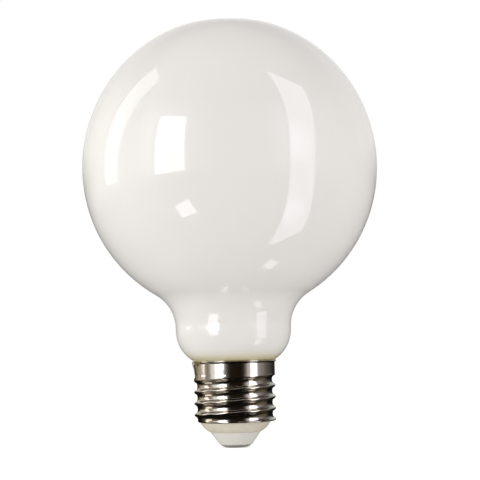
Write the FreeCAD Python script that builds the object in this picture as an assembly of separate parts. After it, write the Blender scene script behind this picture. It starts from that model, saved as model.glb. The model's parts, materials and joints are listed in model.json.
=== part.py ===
# Globe lamp with an Edison screw cap, in millimetres, +Z up.
# The lamp stands on its cap: the origin is the lowest point of the centre contact, on the axis.
# -Y is the side that faces the viewer, and -X is the side of the lead wire.
import FreeCAD, Part
import math
import os
from FreeCAD import Vector

# Glass envelope, its heights above the cap's rim
globe_diameter = 95.0
crown_height = 48.9
crown_arc_angle = 60.0
equator_above_rim = 61.8
shoulder_radius = 12.5
neck_diameter = 36.95
neck_arc_angle = 56.8

# Centre contact, which stands on the origin
contact_diameter = 9.4
contact_flat_diameter = 4.4
contact_edge_height = 0.7
contact_rim_thickness = 0.25
contact_shank_diameter = 1.8
contact_shank_length = 8.0

# Cone that carries the contact
plug_end_border = 0.55
plug_end_bevel = 0.05
plug_cone_length = 4.0
plug_diameter = 16.4
plug_stem_length = 7.2

# Insulating bowl that closes the lower end of the shell
bowl_overhang = 0.15
bowl_depth = 3.1
bowl_belly_radius = 6.9
insulator_in_shell = 4.9
insulator_wall = 3.2

# Screw shell, rolled from sheet
sheet = 0.25
shell_length = 19.6
collar_length = 5.0
collar_step = 0.075
collar_blend = 0.5
lip_flare = 0.5
lip_height = 0.75
inner_shoulder_below_rim = 3.0
lower_edge_inset = 0.4
lower_edge_rise = 0.35
lower_edge_taper = 0.5

# Round screw thread, right-handed
thread_pitch = 3.629
thread_crest_diameter = 26.05
thread_depth = 1.03
flank_angle = 55.0
groove_root_width = 1.24
crest_easing_width = 0.35
crest_easing_depth = 0.26
crest_below_rim_at_x = 8.2
runout_start = 120.0
runout_end = 225.0

# V notch in the rim, for the lead wire, at an angle from -X towards -Y
notch_angle = 23.6
notch_depth = 2.05
notch_width = 6.1
notch_corner = 0.5

# Cement between the glass and the collar
cement_thickness = 0.7
cement_below_rim = 0.3
cement_depth = 2.8
rim_clearance = 0.02

# Lead wire
wire_diameter = 0.35
wire_bend_radius = 0.3
lead_notch_angle = 16.3
lead_start_below_rim = 1.7
lead_over_below_rim = 0.65
lead_over_angle = 16.0
lead_hook_angle = 13.6
lead_hook_below_rim = 1.1
lead_end_angle = 18.8
lead_end_below_rim = 4.5

# Room left all round between moulded pieces that push into each other
push_fit = 0.05

# How far a cutting tool runs past what it cuts
overrun = 1.0

# Radii, each from its neighbour's
crest = thread_crest_diameter / 2
root = crest - thread_depth
bore = root - sheet
collar = crest - collar_step
collar_bore = collar - sheet
lip = collar + lip_flare
lower_edge = root - lower_edge_inset
lower_edge_bore = lower_edge - sheet
bowl_foot = plug_diameter / 2 + bowl_overhang
contact_edge = contact_diameter / 2
plug_end = contact_edge + plug_end_border
globe_radius = globe_diameter / 2
neck_tube_radius = collar_bore - cement_thickness

# Heights, chained upwards from the contact
contact_seat_height = contact_edge_height + contact_rim_thickness
plug_end_height = contact_seat_height + plug_end_bevel
bowl_foot_height = plug_end_height + plug_cone_length
shell_bottom = bowl_foot_height + bowl_depth
rim_height = shell_bottom + shell_length
collar_bottom = rim_height - collar_length
inner_shoulder = rim_height - inner_shoulder_below_rim
equator_height = rim_height + equator_above_rim
neck_tube_end = rim_height - cement_depth

# The neck's bulge is one arc, from its widest point down to the rim, where it just clears the lip
neck_tuck = neck_diameter / 2 - (lip - sheet - rim_clearance)
neck_bulge_radius = neck_tuck / (1 - math.cos(math.radians(neck_arc_angle)))
neck_bulge_centre = neck_diameter / 2 - neck_bulge_radius
neck_bulge_height = rim_height + neck_bulge_radius * math.sin(math.radians(neck_arc_angle))


def point(radius, height):
    """A point of a turned outline, in the plane of +X and +Z."""
    return Vector(radius, 0, height)


def at(radius, angle, height):
    """A point round the lamp's axis, its angle in degrees from -X towards -Y."""
    turn = math.radians(180 + angle)
    return Vector(radius * math.cos(turn), radius * math.sin(turn), height)


def line(start, end):
    return Part.LineSegment(start, end).toShape()


def arc_about(centre, start, end):
    """The shorter arc from start to end about a centre in the outline's plane."""
    half_way = (start - centre).normalize() + (end - centre).normalize()
    middle = centre + half_way.normalize() * (start - centre).Length
    return Part.Arc(start, middle, end).toShape()


def polyline(points):
    return [line(a, b) for a, b in zip(points, points[1:])]


def turned(edges):
    """A solid of revolution about Z from the edges of a closed outline."""
    outline = Part.Wire(Part.__sortEdges__(edges))
    return Part.Face(outline).revolve(Vector(0, 0, 0), Vector(0, 0, 1), 360)


def bulge_point(radius):
    """The point under the neck's bulge where the glass has this radius."""
    drop = math.sqrt(neck_bulge_radius**2 - (radius - neck_bulge_centre) ** 2)
    return point(radius, neck_bulge_height - drop)


def bulge_radius_at(height):
    """The radius of the glass at a height under the neck's bulge."""
    reach = math.sqrt(neck_bulge_radius**2 - (neck_bulge_height - height) ** 2)
    return neck_bulge_centre + reach


def shoulder_centre():
    """Centre of the concave shoulder, tangent to the globe and to the neck's bulge."""
    globe = point(0, equator_height)
    bulge = point(neck_bulge_centre, neck_bulge_height)
    to_globe = globe_radius + shoulder_radius
    to_bulge = neck_bulge_radius + shoulder_radius
    apart = (bulge - globe).Length
    along = (to_globe**2 - to_bulge**2 + apart**2) / (2 * apart)
    aside = math.sqrt(to_globe**2 - along**2)
    direction = (bulge - globe).normalize()
    outwards = Vector(-direction.z, 0, direction.x)
    return globe + direction * along + outwards * aside


def glass_globe():
    """Blown envelope: a crown a little taller than the globe, shoulder, bulged neck and tube."""
    globe_centre = point(0, equator_height)
    bulge_centre = point(neck_bulge_centre, neck_bulge_height)
    shoulder = shoulder_centre()
    top = point(0, equator_height + crown_height)
    equator = point(globe_radius, equator_height)
    # The crown is two tangent arcs, which meet where their shared radius rises at this angle
    rise = math.radians(crown_arc_angle)
    beyond_axis = (crown_height - globe_radius) / (1 + math.tan(rise) - 1 / math.cos(rise))
    side_centre = point(-beyond_axis, equator_height)
    top_centre = point(0, equator_height + beyond_axis * math.tan(rise))
    side_radius = globe_radius + beyond_axis
    arcs_meet = side_centre + point(math.cos(rise), math.sin(rise)) * side_radius
    leaves_globe = globe_centre + (shoulder - globe_centre).normalize() * globe_radius
    meets_bulge = bulge_centre + (shoulder - bulge_centre).normalize() * neck_bulge_radius
    into_tube = bulge_point(neck_tube_radius)
    edges = [
        arc_about(top_centre, top, arcs_meet),
        arc_about(side_centre, arcs_meet, equator),
        arc_about(globe_centre, equator, leaves_globe),
        arc_about(shoulder, leaves_globe, meets_bulge),
        arc_about(bulge_centre, meets_bulge, into_tube),
    ]
    edges += polyline([into_tube, point(neck_tube_radius, neck_tube_end), point(0, neck_tube_end), top])
    return turned(edges)


def thread_section(angle, height):
    """Section of the thread's groove, with a flat root, straight flanks and eased crests."""
    half_root = groove_root_width / 2
    flank_height = thread_depth - crest_easing_depth
    half_flank = half_root + flank_height / math.tan(math.radians(flank_angle))
    half_top = half_flank + crest_easing_width
    # Distances from the groove's middle and outwards from its root
    upper_side = [
        (half_root, 0),
        (half_flank, flank_height),
        (half_top, thread_depth),
        (half_top, thread_depth + overrun),
    ]
    upper = [at(root + out, angle, height + side) for side, out in upper_side]
    lower = [at(root + out, angle, height - side) for side, out in reversed(upper_side)]
    return Part.makePolygon(upper + lower + [upper[0]])


def groove_point(turn):
    """A point of the groove's root line, its angle in degrees from +X, rising with the turn.

    Past the run-out's start the line moves outwards, until the groove has left the metal.
    """
    height = rim_height - crest_below_rim_at_x + thread_pitch / 2 + thread_pitch * turn / 360
    share = max(0.0, (turn - runout_start) / (runout_end - runout_start))
    radius = root + thread_depth * share**1.5
    angle = math.radians(turn)
    return Vector(radius * math.cos(angle), radius * math.sin(angle), height)


def thread_groove():
    """The cutting tool of the thread: its section swept up the helix and out of the metal."""
    step = 30.0
    half_turn = 6
    depth_below = groove_point(0).z - shell_bottom + thread_pitch
    first = -step * math.ceil(depth_below / thread_pitch * 360 / step)
    count = math.ceil((runout_end - first) / step) + 2
    points = [groove_point(first + step * i) for i in range(count + 1)]
    helix = Part.BSplineCurve()
    helix.interpolate(points)
    # One edge for each half turn, because a face that winds round several times doesn't cut
    ends = [helix.parameter(points[i]) for i in range(0, count, half_turn)]
    ends.append(helix.LastParameter)
    path = Part.Wire([helix.toShape(a, b) for a, b in zip(ends, ends[1:])])
    section = thread_section(first - 180, points[0].z)
    sweep = Part.BRepOffsetAPI.MakePipeShell(path)
    sweep.setBiNormalMode(Vector(0, 0, 1))
    sweep.add(section)
    sweep.build()
    sweep.makeSolid()
    return Part.Solid(sweep.shape())


def shell_blank():
    """The shell before threading: lower edge turned in, plain barrel, collar and flared lip."""
    return turned(polyline([
        point(lower_edge_bore, shell_bottom),
        point(lower_edge, shell_bottom),
        point(root, shell_bottom + lower_edge_rise),
        point(crest, shell_bottom + lower_edge_taper),
        point(crest, collar_bottom),
        point(collar, collar_bottom + collar_blend),
        point(collar, rim_height - lip_height),
        point(lip, rim_height - sheet),
        point(lip, rim_height),
        point(lip - sheet, rim_height),
        point(collar_bore, rim_height - lip_height + sheet),
        point(collar_bore, inner_shoulder),
        point(bore, inner_shoulder - (collar_bore - bore)),
        point(bore, shell_bottom + sheet + lower_edge_rise),
        point(lower_edge_bore, shell_bottom + sheet),
        point(lower_edge_bore, shell_bottom),
    ]))


def rim_notch():
    """The cutting tool of the V notch: a prism through the lip and collar with eased corners."""
    half = notch_width / 2
    foot = rim_height - notch_depth
    top = rim_height + overrun
    outline = Part.Wire(Part.makePolygon([
        Vector(0, 0, foot),
        Vector(half * (top - foot) / notch_depth, 0, top),
        Vector(-half * (top - foot) / notch_depth, 0, top),
        Vector(0, 0, foot),
    ]))
    prism = Part.Face(outline).extrude(Vector(0, -2 * lip, 0))
    foot_edges = [e for e in prism.Edges if all(abs(v.Z - foot) < 1e-6 for v in e.Vertexes)]
    prism = prism.makeFillet(notch_corner, foot_edges)
    prism.rotate(Vector(0, 0, 0), Vector(0, 0, 1), notch_angle - 90)
    return prism


def screw_shell():
    """Rolled shell: the blank with the thread's groove and the rim's notch cut in it."""
    return shell_blank().cut(thread_groove()).cut(rim_notch())


def cap_cement():
    """Ring of cement between the glass and the collar, with a slightly sloping top."""
    top = rim_height - cement_below_rim
    bulge_centre = point(neck_bulge_centre, neck_bulge_height)
    at_glass = point(bulge_radius_at(top), top)
    start = bulge_point(neck_tube_radius)
    outer_top = rim_height - lip_height + sheet
    edges = [arc_about(bulge_centre, start, at_glass)]
    edges += polyline([
        at_glass,
        point(collar_bore, outer_top),
        point(collar_bore, neck_tube_end),
        point(neck_tube_radius, neck_tube_end),
        start,
    ])
    return turned(edges).cut(side_lead())


def insulator():
    """Ivory bowl: a plug inside the shell, a rounded belly below it and a hole for the cone."""
    inside = bore - push_fit
    seat = shell_bottom + sheet
    seat_rise = (inside - lower_edge_bore) * lower_edge_rise / lower_edge_inset
    top = shell_bottom + insulator_in_shell
    hole = bowl_foot - insulator_wall
    neck = lower_edge_bore - push_fit
    belly_top = point(neck, shell_bottom)
    foot = point(bowl_foot, bowl_foot_height)
    chord = foot - belly_top
    half_chord = chord.Length / 2
    sag = bowl_belly_radius - math.sqrt(bowl_belly_radius**2 - half_chord**2)
    outwards = Vector(-chord.z, 0, chord.x).normalize()
    middle = (belly_top + foot) * 0.5 + outwards * sag
    edges = [Part.Arc(belly_top, middle, foot).toShape()]
    edges += polyline([
        foot,
        point(hole, bowl_foot_height),
        point(hole, top),
        point(inside, top),
        point(inside, seat + seat_rise),
        point(lower_edge_bore, seat),
        point(neck, seat),
        belly_top,
    ])
    return turned(edges)


def contact_plug():
    """White cone with a stem in the insulator's hole and a bore for the contact's shank."""
    stem = bowl_foot - insulator_wall - push_fit
    stem_top = bowl_foot_height + plug_stem_length
    bore_radius = contact_shank_diameter / 2 + push_fit
    return turned(polyline([
        point(bore_radius, contact_seat_height),
        point(contact_edge, contact_seat_height),
        point(plug_end, plug_end_height),
        point(plug_diameter / 2, bowl_foot_height),
        point(stem, bowl_foot_height),
        point(stem, stem_top),
        point(bore_radius, stem_top),
        point(bore_radius, contact_seat_height),
    ]))


def centre_contact():
    """Pressed contact: a disc with a flat middle and a rounded edge, on a shank."""
    flat = contact_flat_diameter / 2
    shank = contact_shank_diameter / 2
    shank_top = contact_seat_height + contact_shank_length
    spread = contact_edge - flat
    dome_radius = (spread**2 + contact_edge_height**2) / (2 * contact_edge_height)
    edges = [arc_about(point(flat, dome_radius), point(flat, 0), point(contact_edge, contact_edge_height))]
    edges += polyline([
        point(contact_edge, contact_edge_height),
        point(contact_edge, contact_seat_height),
        point(shank, contact_seat_height),
        point(shank, shank_top),
        point(0, shank_top),
        point(0, 0),
        point(flat, 0),
    ])
    return turned(edges)


def bent_wire(points, bend_radius, radius):
    """A round wire along straight runs with a tangent arc at each inner point."""
    edges = []
    here = points[0]
    for before, corner, after in zip(points, points[1:], points[2:]):
        back = (before - corner).normalize()
        on = (after - corner).normalize()
        half_turn = (math.pi - back.getAngle(on)) / 2
        reach = bend_radius * math.tan(half_turn)
        start = corner + back * reach
        end = corner + on * reach
        bisector = (back + on).normalize()
        middle = corner + bisector * (bend_radius / math.cos(half_turn) - bend_radius)
        edges.append(line(here, start))
        edges.append(Part.Arc(start, middle, end).toShape())
        here = end
    edges.append(line(here, points[-1]))
    path = Part.Wire(edges)
    section = Part.Wire(Part.Circle(points[0], points[1] - points[0], radius).toShape())
    return path.makePipeShell([section], True, False)


def side_lead():
    """Lead wire: up out of the cement, out through the notch, hooked over the lip and down the collar."""
    radius = wire_diameter / 2
    inside = collar_bore - radius - push_fit
    over = rim_height - lead_over_below_rim
    return bent_wire(
        [
            at(inside, lead_notch_angle, rim_height - lead_start_below_rim),
            at(inside, lead_notch_angle, over),
            at(lip + radius + push_fit, lead_over_angle, over),
            at(lip + radius + push_fit, lead_hook_angle, rim_height - lead_hook_below_rim),
            at(collar + radius + push_fit / 2, lead_end_angle, rim_height - lead_end_below_rim),
        ],
        wire_bend_radius,
        radius,
    )


pieces = {
    "glass_globe": glass_globe,
    "screw_shell": screw_shell,
    "cap_cement": cap_cement,
    "insulator": insulator,
    "contact_plug": contact_plug,
    "centre_contact": centre_contact,
    "side_lead": side_lead,
}

os.makedirs("parts", exist_ok=True)
for name, make in pieces.items():
    shape = make()
    print(name, shape.ShapeType, "solids", len(shape.Solids), "valid", shape.isValid(), "volume", round(shape.Volume, 2))
    shape.exportStep("parts/" + name + ".step")
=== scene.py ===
# Looks of a globe lamp with a 27 mm screw cap, in metres, +Z up.
# The lamp stands on its centre contact, -Y faces the viewer and -X is the side of the lead wire.
import json
import math
import bmesh
import bpy
import numpy as np
from mathutils import Matrix, Vector

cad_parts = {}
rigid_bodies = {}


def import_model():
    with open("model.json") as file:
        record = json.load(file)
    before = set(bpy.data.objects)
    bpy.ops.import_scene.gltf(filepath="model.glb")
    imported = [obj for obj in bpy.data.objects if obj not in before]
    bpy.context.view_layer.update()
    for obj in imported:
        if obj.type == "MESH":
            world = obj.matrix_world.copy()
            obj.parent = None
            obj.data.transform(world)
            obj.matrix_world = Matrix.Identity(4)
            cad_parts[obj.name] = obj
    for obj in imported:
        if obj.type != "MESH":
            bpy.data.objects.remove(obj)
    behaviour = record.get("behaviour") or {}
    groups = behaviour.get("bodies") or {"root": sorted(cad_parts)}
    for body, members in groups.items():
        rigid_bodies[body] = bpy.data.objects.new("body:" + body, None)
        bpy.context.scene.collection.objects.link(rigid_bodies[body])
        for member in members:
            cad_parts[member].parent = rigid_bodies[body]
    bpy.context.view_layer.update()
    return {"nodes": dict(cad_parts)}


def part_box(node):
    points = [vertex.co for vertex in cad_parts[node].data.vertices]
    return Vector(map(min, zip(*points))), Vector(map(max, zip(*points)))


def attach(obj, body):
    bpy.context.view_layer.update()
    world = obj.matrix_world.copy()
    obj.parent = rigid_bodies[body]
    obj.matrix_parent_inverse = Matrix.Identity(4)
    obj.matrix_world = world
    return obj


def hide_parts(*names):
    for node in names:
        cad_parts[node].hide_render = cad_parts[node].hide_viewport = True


for leftover in list(bpy.data.objects):
    bpy.data.objects.remove(leftover)
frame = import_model()

MM = 0.001

# Heights and radii that the frame gives
glass_low, glass_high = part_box("glass_globe")
shell_low, shell_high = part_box("screw_shell")
insulator_low, insulator_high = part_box("insulator")
plug_low, plug_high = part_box("contact_plug")
contact_low, contact_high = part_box("centre_contact")
GLOBE_RADIUS = min(glass_high.x, -glass_low.x, glass_high.y, -glass_low.y)
LAMP_TOP = glass_high.z
TUBE_END = glass_low.z
RIM = shell_high.z
SHELL_BOTTOM = shell_low.z
LIP_RADIUS = min(shell_high.x, -shell_low.x)
BOWL_FOOT = insulator_low.z
PLUG_RADIUS = min(plug_high.x, -plug_low.x)
CONTACT_RADIUS = min(contact_high.x, -contact_low.x)

# Glass
CROWN_HEIGHT = 48.9 * MM
CROWN_ARC_ANGLE = math.radians(60)
SHOULDER_RADIUS = 12.5 * MM
NECK_RADIUS = 18.475 * MM
NECK_AT_RIM = 13.18 * MM
WAIST_ROUND = 20.0 * MM
WAIST_ANGLE = math.radians(5.5)
NECK_ROUND = 11.2 * MM
TUBE_RADIUS = 12.0 * MM

# Screw shell, and how its surface's rows are spread on the collar: where they start above its foot,
# and the power by which they crowd towards the lip
SHEET = 0.25 * MM
COLLAR_RADIUS = 12.95 * MM
COLLAR_LENGTH = 5.0 * MM
COLLAR_BLEND = 0.5 * MM
LIP_BEAD_WIDTH = 0.3 * MM
LIP_BEAD_HEIGHT = 0.52 * MM
LIP_BEAD_START = math.radians(-20)
LIP_BEAD_POWER = 1.7
LIP_FLARE_HEIGHT = 0.5 * MM
LOWER_EDGE_RADIUS = 11.595 * MM
LOWER_EDGE_TAPER = 0.5 * MM
COLLAR_ROWS_START = 1.2 * MM
COLLAR_ROWS_POWER = 0.7

# Round thread, its run-out in degrees of turn and the small waves that the rolling left in it
THREAD_PITCH = 3.629 * MM
THREAD_CREST = 13.025 * MM
THREAD_DEPTH = 1.03 * MM
FLANK_ANGLE = math.radians(55)
CREST_ROUND = 0.45 * MM
FLANK_ROUND = 0.35 * MM
ROOT_ANGLE = math.radians(18)
CREST_BELOW_RIM_AT_X = 8.2 * MM
CHATTER = 0.07 * MM
CHATTER_LOBES = 13
RUNOUT_START = 120.0
RUNOUT_END = 208.0
RUNOUT_POWER = 1.5

# V notch in the rim, and the shares of its width and height that the lip's bead loses at its foot
NOTCH_ANGLE = math.radians(180 + 23.6)
NOTCH_DEPTH = 2.5 * MM
NOTCH_HALF_WIDTH = 3.05 * MM
NOTCH_FOOT_CORNER = 0.3 * MM
NOTCH_TOP_CORNER = 0.12 * MM
NOTCH_NARROWS_BEAD = 0.4
NOTCH_LOWERS_BEAD = 0.7

# Insulating bowl, cone and contact
BOWL_TOP_RADIUS = 11.295 * MM
BOWL_FOOT_RADIUS = 8.35 * MM
BOWL_BELLY = 6.9 * MM
BOWL_WALL = 3.2 * MM
FOOT_ROUND = 0.5 * MM
CONE_END_RADIUS = 5.25 * MM
CONE_END = 1.0 * MM
EDGE_ROUND = 0.2 * MM
CONTACT_FLAT_RADIUS = 2.2 * MM
CONTACT_EDGE = 0.7 * MM
CONTACT_SEAT = 0.95 * MM
SHANK_RADIUS = 0.9 * MM
PUSH_FIT = 0.05 * MM

# Lead wire and its route: radius, angle in degrees from -X towards -Y, and depth below the rim
WIRE_RADIUS = 0.175 * MM
WIRE_INSIDE = COLLAR_RADIUS - SHEET - WIRE_RADIUS - PUSH_FIT
WIRE_OUTSIDE = COLLAR_RADIUS + WIRE_RADIUS
WIRE_ROUTE = [
    (WIRE_INSIDE, 16.3, 1.7 * MM),
    (WIRE_INSIDE, 16.3, 1.0 * MM),
    (WIRE_INSIDE + 0.3 * MM, 16.0, 0.62 * MM),
    (LIP_RADIUS + PUSH_FIT, 14.2, 0.52 * MM),
    (LIP_RADIUS + WIRE_RADIUS, 13.6, 0.85 * MM),
    (WIRE_OUTSIDE + 0.1 * MM, 15.6, 2.5 * MM),
    (WIRE_OUTSIDE, 18.8, 4.5 * MM),
]

# Soft light of the studio: its level, its colour, and what each axis's side adds to the level
SOFT_LEVEL = 0.61
SOFT_COLOUR = (1.0, 0.98, 0.98, 1.0)
SOFT_LEAN = (0.09, 0.12, 0.02)

# The room that glass and metal mirror: its strength, and the colours round it by azimuth, in
# degrees from the viewer towards +X
ROOM_STRENGTH = 1.98
ROOM_BANDS = [
    (-180, "#cbcbcb"),
    (-173, "#6f6d66"),
    (-166, "#38362f"),
    (-144, "#45433a"),
    (-128, "#847a65"),
    (-120, "#a2968a"),
    (-93, "#aaa298"),
    (-85, "#7c746a"),
    (-80, "#827c73"),
    (-74, "#9b9890"),
    (-67, "#d9dbdb"),
    (-36, "#d9dbdb"),
    (-28, "#868688"),
    (-20, "#413e3b"),
    (-12, "#1b160f"),
    (20, "#161108"),
    (26, "#2e2721"),
    (33, "#686361"),
    (39, "#b5b2b7"),
    (66, "#c8c6cd"),
    (73, "#8b878a"),
    (88, "#7c7678"),
    (100, "#5e5956"),
    (120, "#403e3b"),
    (142, "#211e1f"),
    (164, "#2a2829"),
    (173, "#6a6866"),
    (180, "#cbcbcb"),
]

# Right-hand paper panel as the lamp sees it: each edge's weights for azimuth, elevation and bow,
# and the sum in degrees above which a direction lies inside it
PANEL_EDGES = [
    ((1.0, 0.0, -11.0), 46.9),
    ((-1.0, 0.0, 26.0), -68.0),
    ((-0.713, -1.0, 0.0), -103.7),
    ((-0.95, 1.0, 0.0), -118.9),
]
PANEL_SOFT = 0.8
PANEL_LEVEL = 1.3
PANEL_COLOUR = (0.97, 0.99, 1.04)
# Azimuth, elevation and radius in degrees of the two bulbs that shine through it
PANEL_BULBS = [(52.5, 11.7, 17), (55.6, -33.7, 13)]
BULB_LEVEL = 0.7

# Dark dish that the cap mirrors: painted shade that stands for the shaded ground under the lamp
DISH_RADIUS = 62 * MM
DISH_FLOOR = -0.5 * MM
DISH_RIM = 13.5 * MM
DISH_SIDES = 64

# Camera: its place in millimetres, its focal length in pixels of the frame and its turns in degrees
CAMERA_PLACE = (2.78, -430, 29.21)
CAMERA_FOCUS = 1337.3
CAMERA_TILT = 4.915
CAMERA_ROLL = -1.35
FRAME_WIDTH = 480
SENSOR_WIDTH = 36


def linear(hex_colour):
    """The linear colour of an sRGB hex value."""
    srgb = np.array([int(hex_colour[i:i + 2], 16) / 255 for i in (1, 3, 5)])
    low = srgb / 12.92
    high = ((srgb + 0.055) / 1.055) ** 2.4
    return (*np.where(srgb <= 0.04045, low, high).tolist(), 1.0)


def add(tree, kind, inputs=None, stops=(), **settings):
    """Adds a node to a tree.

    Each input, by name or number, is linked if it is given a socket and set if it is given a value.
    The stops fill a colour ramp, and the settings are the node's attributes or inputs by name.
    """
    node = tree.nodes.new("ShaderNode" + kind)
    for _ in range(len(stops) - 2):
        node.color_ramp.elements.new(0.5)
    for index, (position, colour) in enumerate(stops):
        node.color_ramp.elements[index].position = position
        node.color_ramp.elements[index].color = linear(colour)
    for name, value in settings.items():
        if hasattr(node, name):
            setattr(node, name, value)
        else:
            node.inputs[name.replace("_", " ")].default_value = value
    for name, source in (inputs or {}).items():
        if isinstance(source, bpy.types.NodeSocket):
            tree.links.new(source, node.inputs[name])
        else:
            node.inputs[name].default_value = source
    return node


def new_material(name):
    """An empty material and its node tree."""
    material = bpy.data.materials.new(name)
    material.use_nodes = True
    material.node_tree.nodes.clear()
    return material, material.node_tree


def seen_by(tree, *kinds):
    """1 for the named kinds of ray and 0 for all others."""
    rays = add(tree, "LightPath")
    seen = rays.outputs[kinds[0]]
    for kind in kinds[1:]:
        seen = add(tree, "Math", {0: seen, 1: rays.outputs[kind]}, operation="MAXIMUM").outputs[0]
    return seen


def direction(azimuth, elevation):
    """The unit vector of a direction, its angles in degrees from the viewer towards +X and up."""
    turn, rise = math.radians(azimuth), math.radians(elevation)
    return (math.sin(turn) * math.cos(rise), -math.cos(turn) * math.cos(rise), math.sin(rise))


def opal_glass():
    """Opal soda-lime glass, blown: white through its whole wall, with a clear, even gloss.

    Near the rim the white coat thins out, and the cement behind it tints the glass straw yellow.
    """
    material, tree = new_material("opal_glass_blown")
    place = add(tree, "TexCoord").outputs["Object"]
    height = add(tree, "SeparateXYZ", {"Vector": place}).outputs["Z"]
    fade = add(tree, "MapRange", {"Value": height}, From_Min=RIM, From_Max=RIM + 6 * MM)
    tint = add(tree, "ValToRGB", {"Fac": fade.outputs["Result"]}, stops=[
        (0.0, "#d6c99c"),
        (0.14, "#dfd8bc"),
        (0.34, "#ece9de"),
        (0.6, "#f0eeea"),
    ])
    shader = add(
        tree, "BsdfPrincipled", {"Base Color": tint.outputs["Color"]}, Roughness=0.02, IOR=1.52
    )
    add(tree, "OutputMaterial", {"Surface": shader.outputs["BSDF"]})
    return material


def nickel_plate():
    """Bright nickel plate on rolled sheet: a mirror with a warm cast and faint rolling marks.

    The marks are 1.6 to 3 mm across, stronger on the thread than on the plain collar.
    """
    material, tree = new_material("nickel_plated_sheet")
    place = add(tree, "TexCoord").outputs["Object"]
    mottle = add(tree, "TexNoise", {"Vector": place}, Scale=1 / (1.6 * MM), Detail=3.0)
    rough = add(tree, "MapRange", {"Value": mottle.outputs["Fac"]}, To_Min=0.07, To_Max=0.16)
    waves = add(tree, "TexNoise", {"Vector": place}, Scale=1 / (3.0 * MM), Detail=1.5)
    rolled = add(
        tree,
        "MapRange",
        {"Value": add(tree, "SeparateXYZ", {"Vector": place}).outputs["Z"]},
        From_Min=RIM - COLLAR_LENGTH - 1.2 * MM,
        From_Max=RIM - COLLAR_LENGTH + 0.4 * MM,
        To_Min=0.7,
        To_Max=0.12,
    )
    bump = add(
        tree,
        "Bump",
        {"Height": waves.outputs["Fac"], "Strength": rolled.outputs["Result"]},
        Distance=0.06 * MM,
    )
    shader = add(
        tree,
        "BsdfPrincipled",
        {"Roughness": rough.outputs["Result"], "Normal": bump.outputs["Normal"]},
        Base_Color=linear("#bab4ab"),
        Metallic=1.0,
    )
    add(tree, "OutputMaterial", {"Surface": shader.outputs["BSDF"]})
    return material


def moulded_insulator(name, colour, spot_colour):
    """Moulded steatite or thermoset: satin, with a faint cloudiness two millimetres across."""
    material, tree = new_material(name)
    place = add(tree, "TexCoord").outputs["Object"]
    cloud = add(tree, "TexNoise", {"Vector": place}, Scale=1 / (2 * MM), Detail=2.0)
    tint = add(
        tree, "ValToRGB", {"Fac": cloud.outputs["Fac"]}, stops=[(0.3, spot_colour), (0.7, colour)]
    )
    grain = add(tree, "TexNoise", {"Vector": place}, Scale=1 / (0.15 * MM))
    bump = add(tree, "Bump", {"Height": grain.outputs["Fac"]}, Strength=0.1, Distance=0.01 * MM)
    shader = add(
        tree,
        "BsdfPrincipled",
        {"Base Color": tint.outputs["Color"], "Normal": bump.outputs["Normal"]},
        Roughness=0.42,
        IOR=1.5,
    )
    add(tree, "OutputMaterial", {"Surface": shader.outputs["BSDF"]})
    return material


def lamp_cement():
    """Baked lamp cement: matt, grainy and straw brown, with dark specks half a millimetre across."""
    material, tree = new_material("baked_lamp_cement")
    place = add(tree, "TexCoord").outputs["Object"]
    grain = add(tree, "TexNoise", {"Vector": place}, Scale=1 / (0.5 * MM), Detail=4.0)
    tint = add(
        tree, "ValToRGB", {"Fac": grain.outputs["Fac"]}, stops=[(0.3, "#3a2e0c"), (0.7, "#8c7c3c")]
    )
    bump = add(tree, "Bump", {"Height": grain.outputs["Fac"]}, Strength=0.6, Distance=0.1 * MM)
    shader = add(
        tree,
        "BsdfPrincipled",
        {"Base Color": tint.outputs["Color"], "Normal": bump.outputs["Normal"]},
        Roughness=0.8,
    )
    add(tree, "OutputMaterial", {"Surface": shader.outputs["BSDF"]})
    return material


def drawn_metal(name, colour, roughness):
    """Tinned or nickelled small part: metal with fine drawing or pressing marks, 0.4 mm across."""
    material, tree = new_material(name)
    place = add(tree, "TexCoord").outputs["Object"]
    marks = add(tree, "TexNoise", {"Vector": place}, Scale=1 / (0.4 * MM), Detail=2.0)
    bump = add(tree, "Bump", {"Height": marks.outputs["Fac"]}, Strength=0.2, Distance=0.02 * MM)
    shader = add(
        tree,
        "BsdfPrincipled",
        {"Normal": bump.outputs["Normal"]},
        Base_Color=linear(colour),
        Metallic=1.0,
        Roughness=roughness,
    )
    add(tree, "OutputMaterial", {"Surface": shader.outputs["BSDF"]})
    return material


def arc(centre_r, centre_z, radius, start, end, count):
    """Points of an arc in the turned outline's plane, angles in radians from outwards to up."""
    angle = np.linspace(start, end, count)
    return np.stack([centre_r + radius * np.cos(angle), centre_z + radius * np.sin(angle)])


def run(*points):
    """Straight runs through points, as rows of radii and heights."""
    return np.array(points).T


def joined(*runs):
    """One outline from several runs, without the points that repeat where two runs meet."""
    outline = np.concatenate(runs, axis=1)
    apart = np.hypot(*np.diff(outline, axis=1)) > 1e-8
    return outline[:, np.concatenate([[True], apart])]


def eased(outline_points, radius, count=6, most=0.45):
    """An outline of straight runs whose inner corners are rounded.

    A rounding starts where an arc of the radius would, or at the most of a side's length if that
    is less. It is the curve (1 - t)^2 start + 2 t (1 - t) corner + t^2 end, tangent to both sides.
    """
    corners = [np.array(point, float) for point in outline_points]
    share = np.linspace(0, 1, count)
    pieces = [corners[0][:, None]]
    for before, corner, after in zip(corners, corners[1:], corners[2:]):
        back_length = np.linalg.norm(before - corner)
        on_length = np.linalg.norm(after - corner)
        back = (before - corner) / back_length
        on = (after - corner) / on_length
        half = math.acos(np.clip(back @ on, -1, 1)) / 2
        reach = min(radius / math.tan(half), most * back_length, most * on_length)
        start = (corner + back * reach)[:, None]
        end = (corner + on * reach)[:, None]
        between = 2 * share * (1 - share) * corner[:, None]
        pieces.append((1 - share) ** 2 * start + between + share**2 * end)
    pieces.append(corners[-1][:, None])
    return joined(*pieces)


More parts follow.
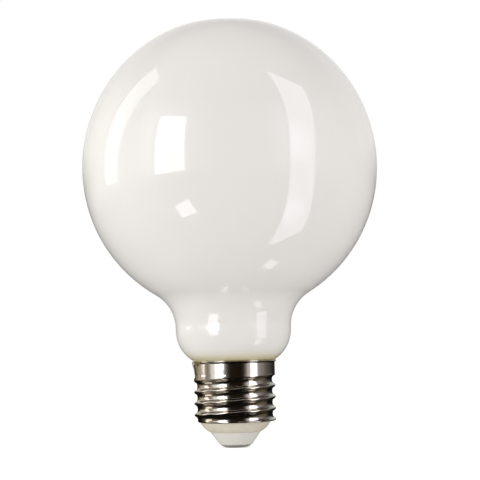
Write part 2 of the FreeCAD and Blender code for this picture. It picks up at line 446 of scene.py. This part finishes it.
def new_object(name, data):
    """An object of the scene that holds a mesh, a light or a camera."""
    item = bpy.data.objects.new(name, data)
    bpy.context.collection.objects.link(item)
    return item


def make_piece(name, points, material, nodes, closed_rows=False):
    """A smooth piece from a grid of points, rows by columns, whose columns close round the axis."""
    rows, columns = points.shape[1:]
    index = np.arange(rows * columns).reshape(rows, columns)
    if closed_rows:
        index = np.concatenate([index, index[:1]])
    index = np.concatenate([index, index[:, :1]], axis=1)
    quads = np.stack([index[:-1, :-1], index[:-1, 1:], index[1:, 1:], index[1:, :-1]], axis=-1)
    quads = quads.reshape(-1, 4)
    mesh = bpy.data.meshes.new(name)
    mesh.vertices.add(rows * columns)
    mesh.vertices.foreach_set("co", points.reshape(3, -1).T.ravel())
    mesh.loops.add(quads.size)
    mesh.loops.foreach_set("vertex_index", quads.ravel())
    mesh.polygons.add(len(quads))
    mesh.polygons.foreach_set("loop_start", np.arange(0, quads.size, 4))
    mesh.update(calc_edges=True)
    close_poles(mesh)
    mesh.shade_smooth()
    mesh.materials.append(material)
    piece = new_object(name, mesh)
    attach(piece, "root")
    for node in nodes:
        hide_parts(node)


def close_poles(mesh):
    """Merges the points that lie on each other and turns every face outwards."""
    work = bmesh.new()
    work.from_mesh(mesh)
    bmesh.ops.remove_doubles(work, verts=work.verts, dist=1e-7)
    bmesh.ops.recalc_face_normals(work, faces=work.faces)
    work.to_mesh(mesh)
    work.free()


def turned(outline, columns):
    """The surface of revolution of an outline (radius, height) about Z, as rows by columns."""
    angle = np.linspace(0, 2 * np.pi, columns, endpoint=False)
    radius, height = outline[:, :, None]
    return np.stack([radius * np.cos(angle), radius * np.sin(angle), height + 0 * angle])


def glass_outline():
    """Downwards: crown of two tangent arcs, globe, concave shoulder, flat waist, neck bulge, tube.

    The shoulder's arc touches the globe and the waist, so its centre is the corner of the triangle
    whose sides are the sums of the radii. The waist's arc turns into the bulge's at WAIST_ANGLE
    below its widest point, and the bulge's comes down to the rim at the glass's radius there.
    """
    equator = LAMP_TOP - CROWN_HEIGHT
    narrowing = 1 + math.tan(CROWN_ARC_ANGLE) - 1 / math.cos(CROWN_ARC_ANGLE)
    beyond = (CROWN_HEIGHT - GLOBE_RADIUS) / narrowing
    top_centre = equator + beyond * math.tan(CROWN_ARC_ANGLE)
    neck_less = WAIST_ROUND - NECK_ROUND
    bulge_radius = NECK_RADIUS - neck_less * (1 - math.cos(WAIST_ANGLE)) - NECK_ROUND
    at_rim = math.acos((NECK_AT_RIM - bulge_radius) / NECK_ROUND)
    bulge = np.array([bulge_radius, RIM + NECK_ROUND * math.sin(at_rim)])
    waist = bulge + neck_less * np.array([-math.cos(WAIST_ANGLE), math.sin(WAIST_ANGLE)])
    globe = np.array([0, equator])
    to_globe = GLOBE_RADIUS + SHOULDER_RADIUS
    to_waist = WAIST_ROUND + SHOULDER_RADIUS
    apart = np.linalg.norm(waist - globe)
    along = (to_globe**2 - to_waist**2 + apart**2) / (2 * apart)
    aside = math.sqrt(to_globe**2 - along**2)
    downwards = (waist - globe) / apart
    outwards = np.array([-downwards[1], downwards[0]])
    shoulder = globe + downwards * along + outwards * aside
    leave = math.atan2(*(shoulder - globe)[::-1])
    meet = math.atan2(*(shoulder - waist)[::-1])
    tuck = -math.acos((TUBE_RADIUS - bulge_radius) / NECK_ROUND)
    return joined(
        arc(0, top_centre, LAMP_TOP - top_centre, math.pi / 2, CROWN_ARC_ANGLE, 40),
        arc(-beyond, equator, GLOBE_RADIUS + beyond, CROWN_ARC_ANGLE, 0, 60),
        arc(0, equator, GLOBE_RADIUS, 0, leave, 70),
        arc(*shoulder, SHOULDER_RADIUS, leave + math.pi, meet + math.pi, 40),
        arc(*waist, WAIST_ROUND, meet, -WAIST_ANGLE, 24),
        arc(*bulge, NECK_ROUND, -WAIST_ANGLE, tuck, 40),
        run((TUBE_RADIUS, TUBE_END), (0, TUBE_END)),
    )


def make_glass_globe():
    """The envelope, one turned surface from the crown to the tube's end inside the cap."""
    points = turned(glass_outline(), 288)
    make_piece("opal_envelope", points, opal_glass(), ["glass_globe"])


def thread_rise(across):
    """How far the metal stands out of the groove's root, at a distance from the groove's middle.

    Shallow root arc, tighter arc, straight flank and crest arc, each tangent to the next. The root
    arc's radius is the one that makes them fill half a pitch and the thread's depth.
    """
    steep = math.tan(FLANK_ANGLE)
    crest_reach = CREST_ROUND * math.sin(FLANK_ANGLE)
    crest_full = CREST_ROUND * (1 - math.cos(FLANK_ANGLE))
    turn_reach = FLANK_ROUND * (math.sin(FLANK_ANGLE) - math.sin(ROOT_ANGLE))
    turn_rise = FLANK_ROUND * (math.cos(ROOT_ANGLE) - math.cos(FLANK_ANGLE))
    reach_left = THREAD_PITCH / 2 - crest_reach - turn_reach
    rise_left = THREAD_DEPTH - crest_full - turn_rise
    root_share = math.sin(ROOT_ANGLE) - (1 - math.cos(ROOT_ANGLE)) / steep
    root_round = (reach_left - rise_left / steep) / root_share
    root_reach = root_round * math.sin(ROOT_ANGLE)
    flank_reach = reach_left - root_reach
    out = np.abs(across)
    in_root = np.clip(out, 0, root_reach)
    in_turn = np.clip(out - root_reach, 0, turn_reach) + FLANK_ROUND * math.sin(ROOT_ANGLE)
    in_flank = np.clip(out - root_reach - turn_reach, 0, flank_reach)
    to_crest = np.clip(THREAD_PITCH / 2 - out, 0, crest_reach)
    return (
        root_round - np.sqrt(root_round**2 - in_root**2)
        + FLANK_ROUND * math.cos(ROOT_ANGLE) - np.sqrt(FLANK_ROUND**2 - in_turn**2)
        + in_flank * steep
        + crest_full - CREST_ROUND + np.sqrt(CREST_ROUND**2 - to_crest**2)
    )


def shell_radius(angle, height):
    """Outer radius of the shell: the plain barrel and collar, less the thread's helical groove.

    The groove's middle climbs one pitch each turn, with a small sine wave from the rolling. Past
    the run-out's start the groove gets shallower with a power of the turn, until it has left the
    metal. The collar steps in by a smooth cubic, and the lower edge by a quarter of an ellipse.
    """
    turn = np.degrees(angle) % 360
    middle_at_x = RIM - CREST_BELOW_RIM_AT_X + THREAD_PITCH / 2
    first_middle = middle_at_x + CHATTER * np.sin(CHATTER_LOBES * angle)
    climbed = (height - first_middle) / THREAD_PITCH - turn / 360
    laps = np.round(climbed)
    across = (climbed - laps) * THREAD_PITCH
    share = np.clip((turn + 360 * laps - RUNOUT_START) / (RUNOUT_END - RUNOUT_START), 0, 1)
    groove = THREAD_DEPTH - thread_rise(across) - THREAD_DEPTH * share**RUNOUT_POWER
    threaded = THREAD_CREST - np.maximum(groove, 0)
    collar_bottom = RIM - COLLAR_LENGTH
    step = np.clip((height - collar_bottom) / COLLAR_BLEND, 0, 1)
    step = step**2 * (3 - 2 * step)
    plain = THREAD_CREST + (COLLAR_RADIUS - THREAD_CREST) * step
    full = np.minimum(threaded, plain)
    rise = np.clip((height - SHELL_BOTTOM) / LOWER_EDGE_TAPER, 0, 1)
    return LOWER_EDGE_RADIUS + (full - LOWER_EDGE_RADIUS) * np.sqrt(1 - (1 - rise) ** 2)


def lip_bead(turn):
    """The lip's section, outwards and upwards, as shares of its half width and height.

    It is a superellipse |x|^n + |z|^n = 1 with n = 2 / LIP_BEAD_POWER, so a bevel with soft corners.
    """
    out, up = np.cos(turn), np.sin(turn)
    return np.sign(out) * np.abs(out) ** LIP_BEAD_POWER, np.sign(up) * np.abs(up) ** LIP_BEAD_POWER


def lip_flare(below):
    """How far the collar leans out under its lip, as the arc of a circle upright at its start."""
    reach = LIP_RADIUS - LIP_BEAD_WIDTH * (1 - lip_bead(LIP_BEAD_START)[0]) - COLLAR_RADIUS
    flare = (LIP_FLARE_HEIGHT**2 + reach**2) / (2 * reach)
    up = np.clip(LIP_FLARE_HEIGHT - below, 0, LIP_FLARE_HEIGHT)
    return flare - np.sqrt(flare**2 - up**2)


def rim_height(angle):
    """Height of the rim round the lamp: level, with a V notch whose corners are eased.

    The V's depth falls by its slope with the distance from its middle. Both corners are hyperbolas,
    at the foot in the distance and at the top in the depth.
    """
    away = np.abs((angle - NOTCH_ANGLE + np.pi) % (2 * np.pi) - np.pi) * COLLAR_RADIUS
    slope = NOTCH_DEPTH / NOTCH_HALF_WIDTH
    wanted = NOTCH_DEPTH - slope * np.sqrt(away**2 + NOTCH_FOOT_CORNER**2)
    depth = 0.5 * (wanted + np.sqrt(wanted**2 + NOTCH_TOP_CORNER**2))
    return RIM - np.where(away > 2 * NOTCH_HALF_WIDTH, 0, depth)


def shell_surface(columns=336, thread_rows=150, collar_rows=48, edge_rows=20, inner_rows=50):
    """The rolled shell as one closed section carried round the axis: outside up, lip, inside down.

    The outside's rows are level on the thread. On the collar they crowd towards the lip and follow
    the rim's height into the notch. The inside stands one sheet thickness behind the outside.
    """
    angle = np.linspace(0, 2 * np.pi, columns, endpoint=False)[None, :]
    rim = rim_height(angle)
    cut = (RIM - rim) / NOTCH_DEPTH
    bead_width = LIP_BEAD_WIDTH * (1 - NOTCH_NARROWS_BEAD * cut)
    bead_height = LIP_BEAD_HEIGHT * (1 - NOTCH_LOWERS_BEAD * cut)
    bead_middle = rim - bead_height
    start_out, start_up = lip_bead(LIP_BEAD_START)
    top = bead_middle + bead_height * start_up
    flare_end = RIM - LIP_BEAD_HEIGHT * (1 - start_up)
    level = RIM - COLLAR_LENGTH + COLLAR_ROWS_START
    thread = SHELL_BOTTOM + (level - SHELL_BOTTOM) * np.linspace(0, 1, thread_rows)[:, None]
    crowded = np.linspace(0, 1, collar_rows)[1:, None] ** COLLAR_ROWS_POWER
    outside = np.concatenate([thread + 0 * angle, level + (top - level) * crowded])
    outer = shell_radius(angle, outside) + lip_flare(flare_end - outside)
    bead_out, bead_up = lip_bead(np.linspace(LIP_BEAD_START, np.pi, edge_rows)[1:, None])
    bead_r = outer[-1:] + bead_width * (bead_out - start_out)
    bead_z = bead_middle + bead_height * bead_up
    inside = SHELL_BOTTOM + (top - SHELL_BOTTOM) * np.linspace(1, 0, inner_rows)[:, None]
    inner = shell_radius(angle, inside) + lip_flare(flare_end - inside) - SHEET
    inner = np.minimum(inner, bead_r[-1:])
    radius = np.concatenate([outer, bead_r, inner])
    height = np.concatenate([outside, bead_z, inside])
    return np.stack([radius * np.cos(angle), radius * np.sin(angle), height])


def make_screw_shell():
    """The rolled shell with its thread, collar, lip and notch."""
    make_piece(
        "nickel_screw_shell",
        shell_surface(),
        nickel_plate(),
        ["screw_shell"],
        closed_rows=True,
    )


def make_insulator():
    """Bowl: hidden plug inside the shell, belly arc, rounded foot and the hole for the cone."""
    top = insulator_high.z
    plug = insulator_high.x
    hole = BOWL_FOOT_RADIUS - BOWL_WALL
    start = np.array([BOWL_TOP_RADIUS, SHELL_BOTTOM])
    end = np.array([BOWL_FOOT_RADIUS, BOWL_FOOT])
    chord = end - start
    half = np.linalg.norm(chord) / 2
    outwards = np.array([-chord[1], chord[0]]) / (2 * half)
    centre = (start + end) / 2 - outwards * math.sqrt(BOWL_BELLY**2 - half**2)
    first = math.atan2(*(start - centre)[::-1])
    last = math.atan2(*(end - centre)[::-1])
    # The arc's last five points make room for the foot's rounding
    belly = arc(*centre, BOWL_BELLY, first, last, 30)[:, :-5]
    outline = joined(
        run((hole, top), (plug, top), (plug, SHELL_BOTTOM + SHEET)),
        run((BOWL_TOP_RADIUS, SHELL_BOTTOM + SHEET)),
        belly[:, :-1],
        eased([belly[:, -1], (BOWL_FOOT_RADIUS, BOWL_FOOT), (hole, BOWL_FOOT)], FOOT_ROUND),
    )
    material = moulded_insulator("ivory_moulded_insulator", "#e9e2d2", "#e4dcc9")
    make_piece(
        "ivory_bowl",
        turned(outline, 192),
        material,
        ["insulator"],
        closed_rows=True,
    )


def make_contact_plug():
    """Cone with an eased lower edge, and its stem in the bowl's hole."""
    stem = BOWL_FOOT_RADIUS - BOWL_WALL - PUSH_FIT
    bore = SHANK_RADIUS + PUSH_FIT
    outline = eased([
        (bore, plug_high.z),
        (stem, plug_high.z),
        (stem, BOWL_FOOT),
        (PLUG_RADIUS, BOWL_FOOT),
        (CONE_END_RADIUS, CONE_END),
        (CONTACT_RADIUS, CONTACT_SEAT),
        (bore, CONTACT_SEAT),
    ], EDGE_ROUND)
    material = moulded_insulator("white_moulded_cone", "#eeece6", "#ebe9e1")
    make_piece(
        "white_cone",
        turned(outline, 160),
        material,
        ["contact_plug"],
        closed_rows=True,
    )


def make_centre_contact():
    """Pressed disc: flat middle, domed border and a square seat on its shank."""
    spread = CONTACT_RADIUS - CONTACT_FLAT_RADIUS
    dome = (spread**2 + CONTACT_EDGE**2) / (2 * CONTACT_EDGE)
    dome_end = math.asin(CONTACT_EDGE / dome - 1)
    outline = joined(
        run((0, 0)),
        arc(CONTACT_FLAT_RADIUS, dome, dome, -math.pi / 2, dome_end, 24),
        run((CONTACT_RADIUS, CONTACT_SEAT), (SHANK_RADIUS, CONTACT_SEAT)),
        run((SHANK_RADIUS, contact_high.z), (0, contact_high.z)),
    )
    material = drawn_metal("tinned_brass_contact", "#e2e0db", 0.5)
    make_piece("domed_contact", turned(outline, 128), material, ["centre_contact"])


def smooth_path(points, steps):
    """A smooth path through points, each stretch between two of them a cubic.

    Its slope at a point is half the step from the point before to the point after, and the first
    and last steps are repeated beyond the ends.
    """
    padded = np.concatenate([2 * points[:1] - points[1:2], points, 2 * points[-1:] - points[-2:-1]])
    share = np.linspace(0, 1, steps, endpoint=False)[:, None]
    path = []
    for a, b, c, d in zip(padded, padded[1:], padded[2:], padded[3:]):
        square = 2 * a - 5 * b + 4 * c - d
        cube = 3 * b - a - 3 * c + d
        path.append(0.5 * (2 * b + (c - a) * share + square * share**2 + cube * share**3))
    return np.concatenate(path + [points[-1:]])


def make_side_lead():
    """Lead wire: a round section carried along a smooth path through the notch and down the collar.

    The section stays square to the path, and each end closes in a point at its middle.
    """
    steps, sides = 8, 14
    route = []
    for radius, angle, depth in WIRE_ROUTE:
        turn = math.radians(180 + angle)
        route.append([radius * math.cos(turn), radius * math.sin(turn), RIM - depth])
    path = smooth_path(np.array(route), steps)
    along = np.gradient(path, axis=0)
    along /= np.linalg.norm(along, axis=1, keepdims=True)
    side = np.cross(along, [0.0, 1.0, 0.0])
    side /= np.linalg.norm(side, axis=1, keepdims=True)
    other = np.cross(along, side)
    turn = np.linspace(0, 2 * np.pi, sides, endpoint=False)[None, :, None]
    section = side[:, None] * np.cos(turn) + other[:, None] * np.sin(turn)
    rows = path[:, None] + section * WIRE_RADIUS
    first, last = (np.repeat(path[i][None, None], sides, axis=1) for i in (0, -1))
    points = np.concatenate([first, rows, last]).transpose(2, 0, 1)
    material = drawn_metal("tinned_copper_wire", "#7d7873", 0.12)
    make_piece("lead_wire", points, material, ["side_lead"])


def make_cement():
    """The cement keeps its CAD ring and gets its material."""
    material = lamp_cement()
    for slot in frame["nodes"]["cap_cement"].material_slots:
        slot.material = material


def make_floor():
    """Plain white ground: it takes the lamp's soft shadow, and is white to the camera elsewhere.

    It glows for the eye, so that it comes out white, and much less for what it bounces to the lamp.
    """
    half = 1.5
    mesh = bpy.data.meshes.new("ground")
    corners = [(-half, -half, 0), (half, -half, 0), (half, half, 0), (-half, half, 0)]
    mesh.from_pydata(corners, [], [(0, 1, 2, 3)])
    floor = new_object("ground", mesh)
    material, tree = new_material("white_ground")
    card = add(tree, "BsdfDiffuse", Color=linear("#f2f2f2"))
    shown = seen_by(tree, "Is Camera Ray", "Is Glossy Ray", "Is Transmission Ray")
    glow = add(tree, "Emission", Color=(1, 1, 1, 1), Strength=0.5)
    bounce = add(tree, "Emission", Color=(1, 1, 1, 1), Strength=0.05)
    lift = add(tree, "MixShader", {0: shown, 1: bounce.outputs[0], 2: glow.outputs[0]})
    both = add(tree, "AddShader", {0: card.outputs[0], 1: lift.outputs[0]})
    add(tree, "OutputMaterial", {"Surface": both.outputs[0]})
    mesh.materials.append(material)
    floor.visible_glossy = False


def dish_painted_shade():
    """Painted shade of the dish for the shaded ground under the lamp, with painted light where the
    softboxes light its sides and a painted lighter patch under the contact.
    """
    material, tree = new_material("painted_shade_plinth")
    place = add(tree, "TexCoord").outputs["Object"]
    point = add(tree, "SeparateXYZ", {"Vector": place})
    aside = add(tree, "Math", {0: point.outputs["X"]}, operation="ABSOLUTE").outputs[0]
    outer = add(tree, "MapRange", {"Value": aside}, From_Min=32 * MM, From_Max=52 * MM)
    before = add(
        tree, "MapRange", {"Value": point.outputs["Y"]}, From_Min=26 * MM, From_Max=4 * MM
    )
    lit = add(tree, "Math", {0: outer.outputs[0], 1: before.outputs[0]}, operation="MULTIPLY")
    # Painted shade #1a1612 for the shaded ground, rising to painted light #7d7467 where the softboxes
    # light the dish's sides
    dark = add(
        tree, "ValToRGB", {"Fac": lit.outputs[0]}, stops=[(0.0, "#1a1612"), (1.0, "#7d7467")]
    )
    near = add(tree, "VectorMath", {0: place}, operation="LENGTH").outputs["Value"]
    # Painted light: a lighter grey patch on the dish under the contact
    under = add(tree, "MapRange", {"Value": near}, From_Min=11 * MM, From_Max=7 * MM)
    tint = add(
        tree,
        "Mix",
        {0: under.outputs[0], 6: dark.outputs["Color"], 7: linear("#8f8d89")},
        data_type="RGBA",
    )
    paint = add(tree, "Emission", {"Color": tint.outputs[2]}, Strength=1.0)
    add(tree, "OutputMaterial", {"Surface": paint.outputs[0]})
    return material


def make_painted_shade_disc():
    """The small dark dish that the lamp stands in, a disc with a low wall, seen by mirroring alone:
    painted shade for the shaded ground under the lamp.
    """
    turns = np.linspace(0, 2 * np.pi, DISH_SIDES, endpoint=False)
    ring = np.stack([DISH_RADIUS * np.cos(turns), DISH_RADIUS * np.sin(turns)], axis=1).tolist()
    points = [(x, y, z) for z in (DISH_FLOOR, DISH_RIM) for x, y in ring]
    faces = [tuple(range(DISH_SIDES))]
    for side in range(DISH_SIDES):
        after = (side + 1) % DISH_SIDES
        faces.append((side, after, DISH_SIDES + after, DISH_SIDES + side))
    mesh = bpy.data.meshes.new("painted_shade_disc")
    mesh.from_pydata(points, [], faces)
    mesh.materials.append(dish_painted_shade())
    painted_shade_disc = new_object("painted_shade_disc", mesh)
    painted_shade_disc.visible_camera = False
    painted_shade_disc.visible_diffuse = False
    painted_shade_disc.visible_shadow = False
    painted_shade_disc.visible_transmission = False


def panel_mask(tree, azimuth, height):
    """1 inside the right-hand panel and 0 outside it, from the PANEL_EDGES."""
    elevation = add(tree, "Math", {0: height}, operation="ARCSINE")
    bow = add(tree, "Math", {0: height, 1: height}, operation="MULTIPLY")
    place = add(
        tree, "CombineXYZ", {"X": azimuth, "Y": elevation.outputs[0], "Z": bow.outputs[0]}
    ).outputs[0]
    inside = 1.0
    for (turn, rise, bowed), limit in PANEL_EDGES:
        weights = (turn, rise, math.radians(bowed))
        along = add(tree, "VectorMath", {0: place, 1: weights}, operation="DOT_PRODUCT")
        edge = add(
            tree,
            "MapRange",
            {"Value": along.outputs["Value"]},
            From_Min=math.radians(limit - PANEL_SOFT),
            From_Max=math.radians(limit + PANEL_SOFT),
        ).outputs[0]
        inside = add(tree, "Math", {0: edge, 1: inside}, operation="MULTIPLY").outputs[0]
    return inside


def panel_glow(tree, way):
    """The panel's brightness as a colour: even, with a soft rise round each bulb behind it."""
    level = PANEL_LEVEL
    for turn, rise, radius in PANEL_BULBS:
        near = add(tree, "VectorMath", {0: way, 1: direction(turn, rise)}, operation="DOT_PRODUCT")
        glow = add(
            tree,
            "MapRange",
            {"Value": near.outputs["Value"]},
            interpolation_type="SMOOTHSTEP",
            From_Min=math.cos(math.radians(radius)),
            From_Max=1.0,
            To_Max=BULB_LEVEL,
        ).outputs[0]
        level = add(tree, "Math", {0: glow, 1: level}, operation="ADD").outputs[0]
    return add(tree, "VectorMath", {0: PANEL_COLOUR, "Scale": level}, operation="SCALE").outputs[0]


def room_colour(tree, way):
    """The room that glass and metal mirror: ROOM_BANDS all round, with the right-hand panel.

    White paper stands behind the lamp, with dark gaps beside it, a warm wall on the left and a dark
    room on the viewer's side. The bands fade into a dark floor and a dark upper wall, a grey
    ceiling closes the room, and the paper goes on upwards behind the lamp.
    """
    axes = add(tree, "SeparateXYZ", {"Vector": way}).outputs
    front = add(tree, "Math", {0: axes["Y"], 1: -1.0}, operation="MULTIPLY").outputs[0]
    azimuth = add(tree, "Math", {0: axes["X"], 1: front}, operation="ARCTAN2").outputs[0]
    share = add(tree, "MapRange", {"Value": azimuth}, From_Min=-math.pi, From_Max=math.pi)
    bands = add(tree, "ValToRGB", {"Fac": share.outputs["Result"]}, stops=[
        ((degrees + 180) / 360, colour) for degrees, colour in ROOM_BANDS
    ])
    up = add(tree, "MapRange", {"Value": axes["Z"]}, From_Min=-1.0, From_Max=1.0).outputs["Result"]
    levels = add(tree, "ValToRGB", {"Fac": up}, stops=[
        (0.0, "#1c1a18"),
        (0.40, "#1c1a18"),
        (0.478, "#ffffff"),
        (0.72, "#ffffff"),
        (0.84, "#3a3836"),
        (0.92, "#3a3836"),
    ])
    ceiling = add(tree, "ValToRGB", {"Fac": up}, stops=[
        (0.90, "#000000"),
        (0.95, "#6a6866"),
        (1.0, "#7c7a78"),
    ])
    paper = add(tree, "ValToRGB", {"Fac": up}, stops=[
        (0.54, "#000000"),
        (0.60, "#9a9a98"),
        (0.80, "#a4a4a2"),
        (0.97, "#505050"),
    ])
    behind = add(tree, "MapRange", {"Value": axes["Y"]}, From_Min=0.3, From_Max=0.9).outputs[0]
    room = bands.outputs["Color"]
    for part, factor, blend in [
        (levels.outputs["Color"], 1.0, "MULTIPLY"),
        (ceiling.outputs["Color"], 1.0, "ADD"),
        (paper.outputs["Color"], behind, "ADD"),
        (panel_glow(tree, way), panel_mask(tree, azimuth, axes["Z"]), "MIX"),
    ]:
        mix = add(tree, "Mix", {0: factor, 6: room, 7: part}, data_type="RGBA", blend_type=blend)
        room = mix.outputs[2]
    return room


def make_world():
    """A studio: white to the camera, soft grey light, and for reflections the room of bands."""
    world = bpy.data.worlds.new("studio")
    bpy.context.scene.world = world
    world.use_nodes = True
    tree = world.node_tree
    tree.nodes.clear()
    way = add(tree, "TexCoord").outputs["Generated"]
    lean = add(tree, "VectorMath", {0: way, 1: SOFT_LEAN}, operation="DOT_PRODUCT")
    level = add(tree, "Math", {0: lean.outputs["Value"], 1: SOFT_LEVEL}, operation="ADD")
    soft = add(tree, "Background", {"Strength": level.outputs[0]}, Color=SOFT_COLOUR)
    room = add(tree, "Background", {"Color": room_colour(tree, way)}, Strength=ROOM_STRENGTH)
    white = add(tree, "Background", Color=(1, 1, 1, 1), Strength=1.0)
    mirrored = seen_by(tree, "Is Glossy Ray")
    studio = add(tree, "MixShader", {0: mirrored, 1: soft.outputs[0], 2: room.outputs[0]})
    direct = seen_by(tree, "Is Camera Ray", "Is Transmission Ray")
    shown = add(tree, "MixShader", {0: direct, 1: studio.outputs[0], 2: white.outputs[0]})
    add(tree, "OutputWorld", {"Surface": shown.outputs[0]})


def softbox(name, middle, facing, size, radiance, colour=(1, 1, 1), spin=0.0):
    """An area light: its middle and size in millimetres, the way it faces and its spin in degrees.

    Its power gives the radiance that a mirror would show of it.
    """
    light = bpy.data.lights.new(name, "AREA")
    light.shape = "RECTANGLE"
    light.size = size[0] * MM
    light.size_y = size[1] * MM
    light.energy = radiance * math.pi * light.size * light.size_y
    light.color = colour
    lamp = new_object(name, light)
    lamp.location = Vector(middle) * MM
    turn = Vector(facing).to_track_quat("-Z", "Y").to_matrix()
    turn = turn @ Matrix.Rotation(math.radians(spin), 3, "Z")
    lamp.rotation_euler = turn.to_euler()
    return lamp


def make_lights():
    """The softboxes, which the lamp mirrors as well, and the light of the right-hand panel.

    The strip and the window light the lamp from the left. The small cards show in its reflections
    alone. The panel gives only its light, because the mirrored room has its picture.
    """
    softbox(
        "left_strip", (-690, 84, 408), (0.906, -0.11, -0.41), (222, 860), 1.8, (1, 0.985, 0.96), -7
    )
    softbox("left_window", (-370, -390, 214), (0.686, 0.724, 0.07), (220, 387), 3.8)
    cards = [
        softbox("low_card", (-50.5, -85, 33), (0.01, 0.978, 0.208), (27, 17), 4.2, spin=29),
        softbox("neck_card", (-17.5, -31.5, 33.5), (0.45, 0.78, -0.43), (9.5, 10), 4.5),
        softbox("chin_card", (27.8, -28.4, 14.9), (-0.679, 0.415, 0.606), (8.5, 11.5), 2.6, spin=8),
        softbox("thread_card", (-40, -9, 7), (0.8, 0, -0.6), (16, 12), 1.7, (1.0, 0.93, 0.83)),
    ]
    for card in cards:
        card.visible_diffuse = False
    panel = softbox("right_panel", (287, -142, -20), (-0.134, 0.99, -0.048), (238, 961), 1.5)
    panel.visible_glossy = False


def make_camera():
    """Camera of the photo: 430 mm in front, low, tilted up and a little turned about its view."""
    camera = bpy.data.cameras.new("camera")
    camera.sensor_width = SENSOR_WIDTH
    camera.lens = SENSOR_WIDTH * CAMERA_FOCUS / FRAME_WIDTH
    eye = new_object("camera", camera)
    eye.location = [value * MM for value in CAMERA_PLACE]
    tilt = Matrix.Rotation(math.radians(90 + CAMERA_TILT), 3, "X")
    roll = Matrix.Rotation(math.radians(CAMERA_ROLL), 3, "Z")
    eye.rotation_euler = (tilt @ roll).to_euler("XYZ")
    bpy.context.scene.camera = eye


make_glass_globe()
make_screw_shell()
make_insulator()
make_contact_plug()
make_centre_contact()
make_side_lead()
make_cement()
make_floor()
make_painted_shade_disc()
make_world()
make_lights()
make_camera()

bpy.context.scene.view_settings.view_transform = "Standard"
